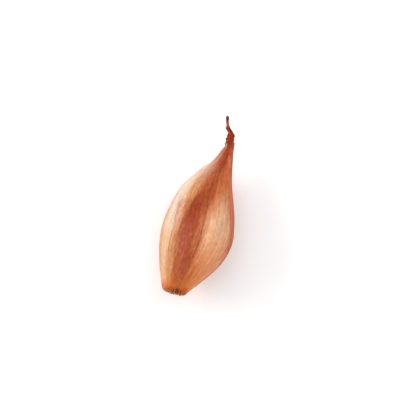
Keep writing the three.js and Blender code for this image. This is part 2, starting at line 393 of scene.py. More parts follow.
# Bands that run the whole length, each with its rows from the roots to the mouth and its paints. A row has
# where the band's middle is in degrees, its half width and how strong it is.
SKIN_BANDS = [
    # on the upper side
    # pale skin down the upper left flank; from halfway along, a painted highlight of the soft light on that
    # side, over the skin's pale film
    ([(156, 34, 0.87), (140, 34, 1.0), (152, 31, 0.9), (135, 32, 0.94), (151, 27, 0.95)],
     [CREAM, CREAM, FILM_AND_HIGHLIGHT, FILM_AND_HIGHLIGHT, FILM_AND_HIGHLIGHT]),
    ([(120, 11, 0.9), (121, 10, 0.95), (114, 9, 0.6), (112, 17, 0.4), (116, 26, 0.95)],
     [GOLD, GOLD, GOLD, TAN, TAN]),
    ([(88, 32, 0.97), (105, 22, 0.81), (103, 16, 0.97), (87, 25, 0.55), (92, 18, 1.0)], BROWN_BAND),
    # peach skin right of the top, with a painted highlight of the light at the right at its middle
    ([(22, 26, 0.73), (50, 30, 1.0), (58, 20, 0.7), (39, 12, 0.15), (50, 16, 0.28)], PEACH_BAND),
    # rose along the right edge: the skin's own tone, made redder and darker there by painted shade and a
    # painted red reflection
    ([(14, 8, 0.38), (12, 10, 0.3), (15, 15, 0.8), (24, 26, 0.9), (48, 30, 0.83)],
     [PEACH, ROSE, ROSE, ROSE, PALE_ROSE]),
    # and underneath
    ([(-30, 24, 0.8), (-24, 20, 0.8), (-22, 18, 0.9), (-36, 18, 0.8), (-40, 26, 0.9)], BROWN_BAND),
    ([(-66, 22, 0.6), (-62, 22, 0.9), (-60, 20, 0.8), (-66, 18, 0.4), (-70, 16, 0.3)], PEACH_BAND),
    ([(-96, 12, 0.4), (-94, 14, 0.7), (-94, 15, 0.7), (-92, 18, 0.7), (-94, 24, 0.8)],
     [PEACH, ROSE, ROSE, ROSE, ROSE]),
    ([(-144, 22, 0.8), (-138, 20, 0.8), (-136, 17, 0.9), (-146, 18, 0.8), (-148, 26, 0.9)], BROWN_BAND),
]
BAND_EDGES = (0.25, 1.5)  # a band fades out over these shares of its half width
# Patches: place round and along, half width, half length, lean in degrees, strength, paint
SKIN_PATCHES = [
    # painted highlight: the soft light's white glare on the upper left flank, over the skin's pale film,
    # with its dusky fading edge in the patches at 131, 130 and 122 degrees
    (150, 0.6, 10, 0.14, 20, 0.6, WHITE_FILM_AND_HIGHLIGHT),
    (144, 0.41, 6, 0.13, 20, 0.85, WHITE_FILM_AND_HIGHLIGHT),
    (131, 0.42, 6, 0.13, 24, 0.65, DUSKY_FILM_AND_HIGHLIGHT),
    (130, 0.47, 6, 0.1, 10, 0.8, DUSKY_FILM_AND_HIGHLIGHT),
    (121, 0.43, 4, 0.07, 0, 0.4, ROSE),
    (122, 0.36, 4, 0.07, 10, 0.45, DUSKY_FILM_AND_HIGHLIGHT),
    (117, 0.12, 8, 0.18, 0, 0.6, GOLD),
    (128, 0.2, 7, 0.15, 0, 0.55, CREAM),
    (124, 0.73, 7, 0.1, -20, 0.55, CREAM),
    (156, 0.895, 22, 0.036, 0, 0.85, CREAM),
    (56, 0.895, 18, 0.03, 0, 0.3, PEACH),
    (38, 0.87, 12, 0.05, 0, 0.4, CREAM),
    (16, 0.18, 9, 0.15, 0, 0.95, PEACH),
    (172, 0.2, 10, 0.22, 0, 0.25, GOLD),
    (168, 0.46, 8, 0.12, 0, 0.3, TAN),
    (115, 0.61, 8, 0.12, -40, 0.45, GOLD),
    (69, 0.55, 7, 0.1, -10, 0.5, TAN),
    # painted highlight of the light at the right, over the skin's pink film
    (52, 0.42, 10, 0.09, 0, 0.35, PINK_FILM_AND_HIGHLIGHT),
    (38, -0.004, 17, 0.024, 0, 1.0, RIM_RED),
    (20, 0.34, 5, 0.022, 0, 0.35, RIM_RED),
    (112, 0.77, 10, 0.06, -60, 0.35, PINK_FILM_AND_HIGHLIGHT),
    (101, 0.45, 7, 0.11, 20, 0.45, BAND_BROWN),
    # painted highlight of the light at the right, in pale peach, over the skin's peach tone
    (37, 0.45, 6, 0.13, 0, 0.35, PALE_PEACH),
    (70, 0.32, 7, 0.08, 0, 0.35, PALE_PEACH),
    (84, 0.46, 4, 0.09, 0, 0.4, BAND_PINK),
    (-116, 0.45, 10, 0.24, -10, 0.6, CREAM),
    (-48, 0.2, 6, 0.2, 10, 0.4, GOLD),
]
PATCH_EDGES = (0.35, 1.2)
# Dark lines where a scale's edge lies under the skin: its start and end in degrees and share, its half
# width, strength and paint
SKIN_LINES = [
    ((131, 0.36), (126, 0.1), 0.8, 0.75, LINE_BROWN),
    ((135, 0.52), (133, 0.32), 0.6, 0.35, LINE_BROWN),
    ((134, 0.5), (131, 0.36), 0.5, 0.3, LINE_BROWN),
    ((126, 0.5), (122, 0.3), 0.6, 0.3, LINE_BROWN),
    ((114, 0.32), (111, 0.02), 0.9, 0.35, LINE_BROWN),
    ((85, 0.62), (80, 0.1), 2.2, 0.5, DARK_RUST),
    ((89, 0.52), (86, 0.26), 0.8, 0.3, DARK_RUST),
    ((81, 0.54), (78, 0.3), 0.8, 0.3, DARK_RUST),
    ((71, 0.34), (67, 0.1), 1.2, 0.35, DARK_RUST),
    ((41, 0.54), (39, 0.3), 0.8, 0.35, LINE_BROWN),
    ((-9, 0.5), (-6, 0.12), 0.8, 0.5, LINE_BROWN),
    ((-60, 0.6), (-66, 0.2), 0.8, 0.5, LINE_BROWN),
    ((-121, 0.5), (-116, 0.1), 0.8, 0.6, LINE_BROWN),
    ((-170, 0.55), (-165, 0.15), 0.8, 0.5, LINE_BROWN),
]
LINE_EDGES = (0.4, 1.4)
LINE_ENDS = (0.2, 0.7)  # a line is at its strongest between these shares of its way
LINE_GAPS = (71, (150, 34), 0.6)  # lumps for how it comes and goes
WANDER = [(51, (36, 5), 3.0), (52, (90, 14), 1.2)]  # lumps for how the edges of bands stray, in degrees
# Lumps for the lighter and darker streaks and spots, as shares of the light
STREAKS = [
    (61, (180, 9), 0.13),
    (62, (84, 6), 0.1),
    (63, (240, 90), 0.2),
    (64, (120, 50), 0.14),
    (65, (22, 12), 0.06),
]
STREAK_TINT = (0.6, 1.0, 1.35)  # how much they take from its red, green and blue
STREAK_CONTRAST = (0.6, 1.7)  # how much they show on the palest and on the darkest skin
STREAK_FALL = 2.4  # how fast that drops as the skin gets lighter
SPOT_COUNT = 36  # faint greenish-grey spots
SPOT_SIZES = (0.6, 1.5)  # half width in degrees
SPOT_SHARES = (0.12, 0.7)  # where they lie along the bulb
SPOT_LENGTHS = (0.004, 0.009)  # half length for each degree of half width
SPOT_STRENGTHS = (0.15, 0.4)
SPOT_EDGES = (0.3, 1.2)
SPOT_SEED = 17


def blend(tone, paint, share):
    return tone + (np.asarray(paint)[..., :3] - tone) * np.clip(share, 0, 1)[..., None]


def ramp(paints, share):
    """A colour that runs smoothly through some paints as share goes from 0 to 1."""
    return np.maximum(smooth_rows([paint[:3] for paint in paints], share), 0.001)


def spotted(degrees, share):
    """How strong the faint spots of the skin are."""
    rng = np.random.default_rng(SPOT_SEED)
    strength = np.zeros(share.shape)
    for _ in range(SPOT_COUNT):
        place = rng.uniform(0, 360)
        middle = rng.uniform(*SPOT_SHARES)
        size = rng.uniform(*SPOT_SIZES)
        length = size * rng.uniform(*SPOT_LENGTHS)
        off = np.hypot(degrees_off(degrees, place) / size, (share - middle) / length)
        strength = np.maximum(strength, rng.uniform(*SPOT_STRENGTHS) * (1 - ease(off, *SPOT_EDGES)))
    return strength


def skin_tone(angle, share):
    """The colour of the skin at these angles and shares of the length, with painted highlights on its upper
    flanks and painted shade along its right edge.
    """
    angle, share = np.broadcast_arrays(angle, share)
    turn = angle / math.tau
    degrees = np.degrees(angle)
    strayed = degrees
    for lump in WANDER:
        strayed = strayed + lumps(lump, turn, share)
    tone = ramp(SKIN_GROUND, share)
    for rows, paints in SKIN_BANDS:
        middle, half_width, strength = np.moveaxis(smooth_rows(rows, share), -1, 0)
        off = np.abs(degrees_off(strayed, middle)) / half_width
        tone = blend(tone, ramp(paints, share), strength * (1 - ease(off, *BAND_EDGES)))
    for place, middle, half_width, half_length, lean, strength, paint in SKIN_PATCHES:
        off = degrees_off(strayed, place + lean * (share - middle)) / half_width
        off = np.hypot(off, (share - middle) / half_length)
        tone = blend(tone, paint, strength * (1 - ease(off, *PATCH_EDGES)))
    for (start, low), (end, high), half_width, strength, paint in SKIN_LINES:
        step = (share - low) / (high - low)
        off = np.abs(degrees_off(strayed, start + (end - start) * step)) / half_width
        shown = ease(step, 0, LINE_ENDS[0]) * (1 - ease(step, LINE_ENDS[1], 1)) * strength
        shown = shown * (1 + lumps(LINE_GAPS, turn, share))
        tone = blend(tone, paint, shown * (1 - ease(off, *LINE_EDGES)))
    tone = blend(tone, SPOT_GREY, spotted(degrees, share))
    low, high = STREAK_CONTRAST
    contrast = np.clip(high - STREAK_FALL * tone.mean(axis=-1), low, high)
    for lump in STREAKS:
        streak = contrast * lumps(lump, turn, share)
        tone = tone * (1 + streak[..., None] * STREAK_TINT)
    return tone


def skin_finish():
    """Dry onion paper: satin, with fine lengthwise fibres and veins over its bands of colour, which hold
    painted highlights and painted shade.
    """
    f = Finish("dry_skin")
    grain = f.attribute("grain", "Vector")
    parts = f.tree.nodes.new("ShaderNodeSeparateXYZ")
    f.join(parts.inputs[0], grain)
    along = parts.outputs["Z"]
    fibres = f.noise(f.stretched(grain, 34, 34, 2.4), detail=4, roughness=0.62)
    veins = f.noise(f.stretched(grain, 13, 13, 1.2), detail=3, roughness=0.6)
    cells = f.noise(f.stretched(grain, 150, 150, 260), detail=1)
    mottle = f.noise(f.stretched(grain, 30, 30, 60), detail=3, roughness=0.7)
    flushes = f.noise(f.stretched(grain, 10, 10, 17), detail=2)
    blotches = f.noise(f.stretched(grain, 5, 5, 90), detail=2)
    burns = f.noise(f.stretched(grain, 26, 26, 90), detail=2)

    tone = f.attribute("tone", "Vector")
    tone = f.shaded(tone, f.fade(fibres, 0.3, 0.7, 0.92, 1.07), f.fade(cells, 0.3, 0.7, 0.95, 1.04))
    tone = f.shaded(tone, f.fade(mottle, 0.34, 0.66, 0.87, 1.17))
    tone = f.mix(tone, THICK_SKIN, f.fade(fibres, 0.62, 0.34, 0, 0.5), blend="MULTIPLY")
    tone = f.mix(tone, FLUSHED_SKIN, f.fade(flushes, 0.46, 0.64), blend="MULTIPLY")
    tone = f.mix(tone, DARK_VEIN, f.fade(veins, 0.56, 0.68, 0, 0.14))
    tone = f.mix(tone, NECK_RUST, f.fade(along, 0.68, 0.95), f.fade(fibres, 0.46, 0.6, 0, 0.7))
    tone = f.mix(tone, RIM_ORANGE, f.fade(along, -0.01, 0.035, 0.9, 0), f.fade(fibres, 0.36, 0.56, 0.35, 1))
    tone = f.mix(tone, BURNT, f.fade(along, -0.014, 0.002, 0.9, 0), f.fade(burns, 0.53, 0.59))
    tone = f.mix(tone, BURNT, f.fade(along, 0.955, 0.992, 0, 0.85), f.fade(blotches, 0.5, 0.58))

    relief = f.bump(fibres, 0.00012)
    relief = f.bump(cells, 0.00003, under=relief)
    return f.set({
        "Base Color": tone,
        "Roughness": f.fade(fibres, 0.3, 0.7, 0.38, 0.52),
        "Specular IOR Level": 0.18,
        "Normal": relief,
        "Subsurface Weight": 0.06,
        "Subsurface Radius": (0.002, 0.0008, 0.0004),
        "Subsurface Scale": 1.0,
    })


def grain_of(angle, along):
    """Where a point is on the skin, as its finish reads it: cosine and sine of its angle, share along."""
    angle, along = np.broadcast_arrays(angle, along)
    return np.stack([np.cos(angle), np.sin(angle), along / SKIN_LENGTH], axis=-1)


def skin_rows():
    """The skin's rows from its hollow at the roots to the inside of its mouth: wall, distance along."""
    rim = smooth_rows(RIM_CURVE, np.linspace(0, 1, RIM_STEPS))[:-1]
    steps = np.linspace(0, 1, SKIN_ROWS)
    outside = SKIN_LENGTH * (steps - ROW_CROWDING * np.sin(math.tau * steps))
    rows = RIM_INSIDE + rim.tolist() + [(1.0, along) for along in outside]
    return rows + [(wall, SKIN_LENGTH + past) for wall, past in MOUTH_ROWS]


skin_angles = np.linspace(0, math.tau, SKIN_COLUMNS, endpoint=False)
walls, alongs = np.array(skin_rows()).T[:, :, None]
skin_rings = skin_at(skin_angles[None, :], alongs, walls)
first_station_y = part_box("bulb")[0].y - RIM_CURVE[0][1]
set_down = np.array([0, first_station_y, -skin_rings[..., 2].min() - FLAT_DEPTH])
skin_rings = skin_rings + set_down
skin_rings[..., 2] = np.maximum(skin_rings[..., 2], 0)

dry_skin = skin_finish()
skin_values = {
    "grain": grain_of(skin_angles[None, :], alongs),
    "tone": skin_tone(skin_angles[None, :], alongs / SKIN_LENGTH),
}
outer_skin = make_piece("outer_skin", [(skin_rings, skin_values)], dry_skin)
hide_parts("bulb")

# ---------------------------------------------------------------- the torn skin at the mouth
# Where the leaves withered away, the skin round the neck's mouth has torn into short papery tongues. They
# are the skin itself, curled outwards or closed round the leaf, and paler where its outer film has gone.

TONGUE_WALL = 0.06  # its thickness, as a share of the neck's radius
TONGUE_NOTCHES = (-0.25, 0.15)  # how its edges stray, as shares of its half width
TONGUE_POINT = (0.8, 2.2)  # how much narrower its tip is, and how late along it that comes
TONGUE_CURLS = (0.3, 1.1)  # it curls out between these shares of it
TONGUE_STEPS, TONGUE_COLUMNS = 20, 15
# Each tongue: where it stands round the mouth, how far below the mouth it parts from the skin, its length
# past the mouth, its half width in degrees, its share of the neck's radius, how far it curls out and how
# pale it is
TONGUES = [
    (162, 0.0034, 0.0010, 42, 1.02, 0.0017, 0.8),
    (148, 0.0014, 0.0020, 24, 0.82, 0.0000, 0.3),
    (208, 0.0013, 0.0016, 26, 0.88, 0.0002, 0.6),
    (238, 0.0013, 0.0014, 24, 0.84, 0.0000, 0.2),
    (268, 0.0008, 0.0016, 26, 0.94, 0.0001, 0.1),
    (300, 0.0013, 0.0024, 26, 0.78, 0.0000, 0.0),
    (334, 0.0010, 0.0006, 26, 0.80, 0.0000, 0.0),
    (14, 0.0013, 0.0006, 26, 0.72, 0.0000, 0.1),
    (52, 0.0013, 0.0019, 26, 0.74, 0.0000, 0.1),
    (76, 0.0013, 0.0013, 22, 0.84, 0.0000, 0.0),
    (112, 0.0013, 0.0012, 24, 0.80, 0.0000, 0.2),
]
TORN_PALE = colour(226, 172, 128)
TORN_RUST = colour(172, 84, 44)
TORN_TIP = colour(96, 40, 22)


def tongue_rings(place, below, length, half_turn, wall, curl):
    """One tongue of torn skin: it comes up inside the mouth's edge and curls out past it."""
    step = np.linspace(0, 1, TONGUE_STEPS)[:, None]
    notches = 1 + np.random.default_rng(place).uniform(*TONGUE_NOTCHES, (TONGUE_STEPS, 1)) * step
    narrowing, lateness = TONGUE_POINT
    half = math.radians(half_turn) * (1 - narrowing * step**lateness) * notches
    angle = math.radians(place) + half * np.linspace(-1, 1, TONGUE_COLUMNS)[None, :]
    along = SKIN_LENGTH - below + step * (below + length) + 0 * angle
    outward = np.stack([np.cos(angle), 0 * angle, np.sin(angle)], axis=-1)
    off = np.stack([0 * angle, np.maximum(0, along - SKIN_LENGTH), 0 * angle], axis=-1)
    off = off + (curl * ease(step, *TONGUE_CURLS))[..., None] * outward
    on_skin = np.minimum(along, SKIN_LENGTH)
    outside, inside = (skin_at(angle, on_skin, size) + off for size in (wall, wall - TONGUE_WALL))
    return np.concatenate([outside, inside[:, ::-1]], axis=1)


def torn_finish():
    """The torn edge of the skin: rusty or pale paper with dark, withered tips."""
    f = Finish("torn_skin")
    where = f.place()
    blotches = f.noise(where, detail=3, roughness=0.6, scale=900)
    fibres = f.noise(f.stretched(where, 5000, 500, 5000), detail=2)
    tone = f.mix(TORN_RUST, TORN_PALE, f.attribute("paleness"), f.fade(blotches, 0.36, 0.56, 0.55, 1))
    tone = f.mix(tone, NECK_RUST, f.fade(fibres, 0.45, 0.65, 0, 0.6))
    tone = f.mix(tone, TORN_TIP, f.fade(f.attribute("reach"), 0.6, 1.0), f.fade(blotches, 0.62, 0.46))
    return f.set({
        "Base Color": tone,
        "Roughness": 0.6,
        "Specular IOR Level": 0.3,
        "Normal": f.bump(fibres, 0.00006),
    })


tongue_reach = np.linspace(0, 1, TONGUE_STEPS)[:, None]
tongues = [
    (tongue_rings(*tongue) + set_down, {"reach": tongue_reach, "paleness": paleness})
    for *tongue, paleness in TONGUES
]
make_piece("mouth_tongues", tongues, torn_finish())

# ---------------------------------------------------------------- the dry leaf tip
# What is left of the green leaves: they have withered into one dark, twisted, folded blade that stands
# out of the mouth and ends in a small knob, with thinner wisps and shreds that have split off along it.

LEAF_SEAT = 0.002  # how deep it sits in the mouth
# Its middle line past the mouth: along, sideways, up
LEAF_PATH = [
    [-LEAF_SEAT, 0.0006, -0.0008],
    [0.0004, -0.0010, -0.0006],
    [0.0026, -0.0006, -0.0003],
    [0.0050, -0.0013, 0.0004],
    [0.0076, -0.00355, 0.0013],
    [0.0102, -0.0052, 0.0018],
    [0.0122, -0.0058, 0.0018],
    [0.0135, -0.0063, 0.0014],
]
# Its section at nine equal steps: half width, half thickness, in metres, and radians that it has twisted
LEAF_SECTIONS = [
    [0.00125, 0.0012, 0],
    [0.00125, 0.0012, 0],
    [0.00173, 0.0014, 0.1],
    [0.00178, 0.0010, 0.35],
    [0.0011, 0.0008, 0.8],
    [0.00092, 0.00065, 1.3],
    [0.00085, 0.00065, 1.8],
    [0.00078, 0.00085, 2.2],
    [0.00055, 0.0005, 2.6],
]
LEAF_FOLDS = (5, 0.2)  # deep folds: how many, and their share of the half width
LEAF_CREASES = (11, 0.09)
LEAF_CRUMPLES = (21, (10, 24), 0.13)  # lumps, as shares of the half width
LEAF_LOOSE = (0.1, 0.35)  # its folds open out between these shares of it
LEAF_HELD = 0.35  # the share of them that shows where the mouth holds it
LEAF_DRIFT = (2.2, 5)  # how far the folds wander round it in radians, and how often
LEAF_SLACK = 0.1  # it is this much smaller, so that its folds don't make it wider
LEAF_COLUMNS, LEAF_ROWS = 110, 190

WISP_THICKNESS = 0.00014
WISP_SIZE = 1.02  # it winds round a blade this much larger
WISP_LIFT = 0.0001  # how far it lies off that
WISP_RIPPLE = 0.00012
WISP_CUP = 0.35  # how hollow it is, as a share of its half width
WISP_STEPS, WISP_COLUMNS = 46, 9
# Wisps that wind up the leaf: from and to which share of it, where they start round it, radians they wind,
# half width, how far their end stands off, how pale they are
WISPS = [
    (0.02, 0.40, 3.0, 1.1, 0.0005, 0.0002, 0.2),
    (0.42, 0.25, 0.1, 0.0, 0.0005, 0.0005, 0.0),
    (0.14, 0.62, 2.2, 1.6, 0.0003, 0.0003, 0.3),
    (0.22, 0.50, 4.4, 0.9, 0.0005, 0.0002, 0.4),
    (0.40, 0.84, 2.5, 0.9, 0.0004, 0.0002, 1.0),
    (0.34, 0.80, 1.0, 2.4, 0.0003, 0.0002, 0.2),
    (0.48, 0.92, 3.6, 2.0, 0.0003, 0.0001, 0.5),
    (0.02, 0.18, 5.2, 0.6, 0.0005, 0.0003, 0.1),
    (0.50, 0.74, 3.1, 0.1, 0.00035, 0.0006, 1.0),
]
SHRED_THICKNESS = 0.00013
SHRED_CUP = 0.5
SHRED_STEPS, SHRED_COLUMNS = 14, 7
SHRED_TWIST = 1.3  # radians between its flat side and the leaf's path
# Torn shreds: where on the leaf, which way they stand off in radians, how far out and how far along they
# reach, their half width, how burnt they look
SHREDS = [
    (0.35, 2.9, 0.0014, 0.0010, 0.00028, 0.0),
    (0.40, 0.2, 0.0014, 0.0010, 0.0003, 0.2),
    (0.52, 3.1, 0.0013, 0.0025, 0.0007, 1.0),
    (0.20, 3.1, 0.0024, 0.0004, 0.0009, 1.0),
    (0.29, 0.0, 0.0022, -0.0002, 0.0007, 0.9),
    (0.30, 1.4, 0.0014, 0.0010, 0.0004, 0.0),
    (0.47, 4.6, 0.0016, 0.0012, 0.0003, 0.0),
    (0.86, 0.6, 0.0007, 0.0006, 0.00022, 0.3),
]
SHRED_PALENESS = 0.1
LEAF_RED = colour(172, 56, 16)
LEAF_BROWN = colour(142, 52, 16)
LEAF_TAN = colour(206, 128, 70)
LEAF_OLIVE = colour(104, 58, 14)
LEAF_BLACK = colour(40, 16, 10)


def unit(vectors):
    return vectors / np.linalg.norm(vectors, axis=-1, keepdims=True)


def ribbon(middles, sides, faces_up, half_widths, thickness, cup, columns):
    """Rings of a thin strip round its middle line. cup hollows it, as a share of its half width."""
    across = np.linspace(-1, 1, columns)
    edge = 1 - 0.7 * across**2
    bend = cup * (1 - across**2)
    rings = []
    for middle, side, up, half in zip(middles, sides, faces_up, half_widths):
        line = middle + np.outer(across, side) * half + np.outer(bend, up) * half
        skin = np.outer(edge, up) * thickness / 2
        rings.append(np.concatenate([line + skin, (line - skin)[::-1]]))
    return np.array(rings)


def leaf_at(share):
    """The leaf along its path: middle, three directions, half width, half thickness and twist."""
    along, across, up = np.moveaxis(smooth_rows(LEAF_PATH, share), -1, 0)
    middle = np.stack([across, SKIN_LENGTH + along, up], axis=-1)
    nearby = smooth_rows(LEAF_PATH, share + 0.01) - smooth_rows(LEAF_PATH, share - 0.01)
    forward = unit(nearby[..., [1, 0, 2]])
    level = unit(np.cross(forward, [0, 0, 1]))
    upright = np.cross(level, forward)
    half_width, half_thickness, twist = np.moveaxis(smooth_rows(LEAF_SECTIONS, share), -1, 0)
    return middle, forward, level, upright, half_width, half_thickness, twist


def leaf_surface(angle, share, larger=1.0):
    """Points of the folded blade at these angles round it."""
    middle, _, level, upright, half_width, half_thickness, twist = leaf_at(share)
    loose = ease(share, *LEAF_LOOSE)
    drift = LEAF_DRIFT[0] * np.sin(LEAF_DRIFT[1] * share)
    count, depth = LEAF_FOLDS
    folds = depth * (2 * np.abs(np.cos(count / 2 * angle + drift)) - 1)
    count, depth = LEAF_CREASES
    folds = folds + depth * np.cos(count * angle - 2 * drift)
    folds = folds + lumps(LEAF_CRUMPLES, angle / math.tau, share)
    size = larger * (1 - LEAF_SLACK + folds * (LEAF_HELD + (1 - LEAF_HELD) * loose))
    width = half_width * size * np.cos(angle)
    thickness = half_thickness * size * np.sin(angle)
    sideways = width * np.cos(twist) - thickness * np.sin(twist)
    upwards = width * np.sin(twist) + thickness * np.cos(twist)
    return middle + level * sideways[..., None] + upright * upwards[..., None]


def wisp_rings(start, end, turn, wind, half_width, stand_off):
    """One thin strip that lies on the folded blade, winds round it and lifts off at its end."""
    step = np.linspace(0, 1, WISP_STEPS)
    share = start + (end - start) * step
    angle = turn + wind * step
    middle = leaf_at(share)[0]
    surface = leaf_surface(angle, share, WISP_SIZE)
    outward = unit(surface - middle)
    line = surface + outward * (WISP_LIFT + stand_off * ease(step, 0.7, 1.15))[:, None]
    line = line + outward * (WISP_RIPPLE * np.sin(9 * step + turn))[:, None]
    forward = unit(np.gradient(line, axis=0))
    sides = unit(np.cross(forward, outward))
    half_widths = half_width * (0.5 + 0.5 * ease(step, 0, 0.25)) * (1 - 0.85 * ease(step, 0.5, 1))
    half_widths = half_widths * (1 + 0.18 * np.sin(23 * step + 3 * turn))
    upwards = np.cross(sides, forward)
    return ribbon(line, sides, upwards, half_widths, WISP_THICKNESS, WISP_CUP, WISP_COLUMNS)


def shred_rings(at, turn, out, along, half_width):
    """One curled shred: it leaves the blade sideways and bends back along it to a point."""
    step = np.linspace(0, 1, SHRED_STEPS)
    base, forward, level, upright = (value[0] for value in leaf_at(np.array([at]))[:4])
    off = level * math.cos(turn) + upright * math.sin(turn)
    sideways = 1.8 * out * step * (1 - step) + out * step**2
    line = base + np.outer(sideways, off) + np.outer(along * step**2, forward)
    ahead = unit(np.gradient(line, axis=0))
    side = unit(np.cross(off, forward))
    sides = unit(side * math.cos(SHRED_TWIST) + np.cross(ahead, side) * math.sin(SHRED_TWIST))
    half_widths = half_width * (1 - 0.88 * step**1.5)
    upwards = np.cross(sides, ahead)
    return ribbon(line, sides, upwards, half_widths, SHRED_THICKNESS, SHRED_CUP, SHRED_COLUMNS)


def leaf_finish():
    """Withered leaf: matt red-brown, with paler strips, near-black spots and an olive-brown knob."""
    f = Finish("dead_leaf")
    where = f.place()
    along = f.attribute("along")
    blotches = f.noise(where, detail=3, roughness=0.6, scale=700)
    spots = f.noise(where, detail=2, roughness=0.6, scale=850)
    fibres = f.noise(f.stretched(where, 6000, 900, 6000), detail=2)
    edge = f.fade(f.attribute("edge"), 0.8, 0.98, 0, 0.9)
    tone = f.mix(LEAF_RED, LEAF_BROWN, f.fade(blotches, 0.38, 0.62))
    tone = f.mix(tone, LEAF_TAN, f.fade(along, 0.56, 0.66, 0, 0.75), f.fade(blotches, 0.62, 0.48, 0.3, 1))
    tone = f.mix(tone, LEAF_OLIVE, f.fade(along, 0.66, 0.76, 0, 0.9))
    tone = f.mix(tone, LEAF_TAN, f.attribute("paleness"), f.fade(blotches, 0.66, 0.46, 0.4, 1))
    tone = f.mix(tone, LEAF_BLACK, f.fade(fibres, 0.52, 0.72, 0, 0.4))
    tone = f.mix(tone, LEAF_BLACK, edge, f.fade(blotches, 0.4, 0.5))
    tone = f.mix(tone, LEAF_BLACK, f.fade(spots, 0.6, 0.66, 0, 0.9))
    tone = f.mix(tone, LEAF_BLACK, f.fade(f.attribute("burnt"), 0, 1, 0, 0.9))
    return f.set({
        "Base Color": tone,
        "Roughness": 0.62,
        "Specular IOR Level": 0.15,
        "Normal": f.bump(fibres, 0.00008),
    })


leaf_angles = np.linspace(0, math.tau, LEAF_COLUMNS, endpoint=False)[None, :]
leaf_shares = np.linspace(0, 1, LEAF_ROWS)[:, None]
angle_grid, share_grid = np.broadcast_arrays(leaf_angles, leaf_shares)
blade_values = {"along": share_grid, "edge": np.abs(np.cos(angle_grid)), "paleness": 0, "burnt": 0}
leaf_forms = [(leaf_surface(angle_grid, share_grid) + set_down, blade_values)]
for *wisp, paleness in WISPS:
    wisp_share = np.linspace(wisp[0], wisp[1], WISP_STEPS)[:, None]
    wisp_values = {"along": wisp_share, "edge": 0, "paleness": paleness, "burnt": 0}
    leaf_forms.append((wisp_rings(*wisp) + set_down, wisp_values))
for *shred, burnt in SHREDS:
    shred_values = {"along": shred[0], "edge": 0, "paleness": SHRED_PALENESS, "burnt": burnt}
    leaf_forms.append((shred_rings(*shred) + set_down, shred_values))
withered_leaf = make_piece("withered_leaf", leaf_forms, leaf_finish())
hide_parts("dry_leaf_tip")

# ---------------------------------------------------------------- the root plate
# The corky, crumbly disc of dried stem that all the scales and roots grow from. It is held in the hollow
# of the skin's root end by the scales that grew from it.

PLATE_GAP = 0.0004  # between the plate and the skin round it
PLATE_SHARE = 0.7  # the hollow, as a share of the skin's radius at its first station
PLATE_EDGE = -0.0012  # where the dome's edge is, from the first station
PLATE_DOME = 0.00085  # how far its middle stands out past its edge
PLATE_BACK = 0.00115  # from its edge to its back
PLATE_ROWS, PLATE_COLUMNS = 26, 96
PLATE_CRUMBS = (31, (30, 9), 0.00022)  # lumps of its crumbly face
PLATE_WAVES = (33, (24, 3), 0.03)  # lumps of its ragged edge, as a share of its radius
PLATE_TINT = 0.3
# The finish darkens the plate towards its edge, in the skin's hollow, as painted shade.
PLATE_REACHES = (0.5, 0.15)  # how far out its middle and its edge count as, when the finish darkens them
ROOT_DARK = colour(40, 24, 14)
ROOT_BROWN = colour(178, 92, 34)
ROOT_STRAW = colour(238, 166, 90)
ROOT_GOLD = colour(236, 122, 40)
ROOT_DUST = colour(255, 228, 176)

first_breadth, first_sway, first_rise = smooth_rows(SKIN_STATIONS, np.array([0.0]))[0] * BELLY_RADIUS
plate_radius = first_breadth * PLATE_SHARE - PLATE_GAP
plate_place = set_down + [first_sway, PLATE_EDGE, first_rise]


def plate_height(share):
    """How far the dome stands out at a share of its radius."""
    return PLATE_DOME * np.sqrt(np.maximum(0, 1 - share**2))


def plate_rings(share):
    angle = np.linspace(0, math.tau, PLATE_COLUMNS, endpoint=False)[None, :]
    front = lumps(PLATE_CRUMBS, angle / math.tau, share) - plate_height(share)
    radius = plate_radius * share * (1 + lumps(PLATE_WAVES, angle / math.tau, share))
    dome = np.stack([radius * np.cos(angle), front, radius * np.sin(angle)], axis=-1)
    back = dome[-1:].copy()
    back[..., 1] = PLATE_BACK
    return np.concatenate([dome, back])


def root_finish():
    """Dead root and cork: matt straw to dark brown, darker in the gaps as painted shade, and dusty at the
    broken ends.
    """
    f = Finish("dry_root")
    where = f.place()
    tint = f.attribute("tint")
    reach = f.attribute("reach")
    grit = f.noise(where, detail=3, roughness=0.65, scale=2200)
    patches = f.noise(where, detail=2, scale=420)
    tone = f.mix(ROOT_BROWN, ROOT_STRAW, f.fade(tint, 0.2, 0.9))
    tone = f.mix(tone, ROOT_GOLD, f.fade(patches, 0.46, 0.6, 0, 0.8))
    # painted shade: the stubs darker towards their bases, deep among the others, and the plate darker
    # towards its edge
    tone = f.mix(tone, ROOT_DARK, f.fade(reach, 0.05, 0.5, 0.75, 0))
    tone = f.mix(tone, ROOT_DARK, f.fade(tint, 0.12, 0.3, 0.6, 0))
    tone = f.mix(tone, ROOT_DUST, f.fade(reach, 0.6, 0.9), f.fade(tint, 0.4, 0.75, 0, 0.95))
    tone = f.mix(tone, ROOT_DARK, f.fade(grit, 0.58, 0.7, 0, 0.6))
    return f.set({
        "Base Color": tone,
        "Roughness": 0.85,
        "Specular IOR Level": 0.25,
        "Normal": f.bump(grit, 0.00012),
    })


dry_root = root_finish()
plate_shares = np.sin(np.linspace(0.02, 1, PLATE_ROWS) * math.pi / 2)[:, None]
plate_form = plate_rings(plate_shares)
plate_reach = np.concatenate([np.interp(plate_shares, (0, 1), PLATE_REACHES), [[0]]])
plate_values = {"tint": PLATE_TINT, "reach": plate_reach}
root_plate = make_piece("root_plate", [(plate_form + plate_place, plate_values)], dry_root)
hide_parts("root_tuft")

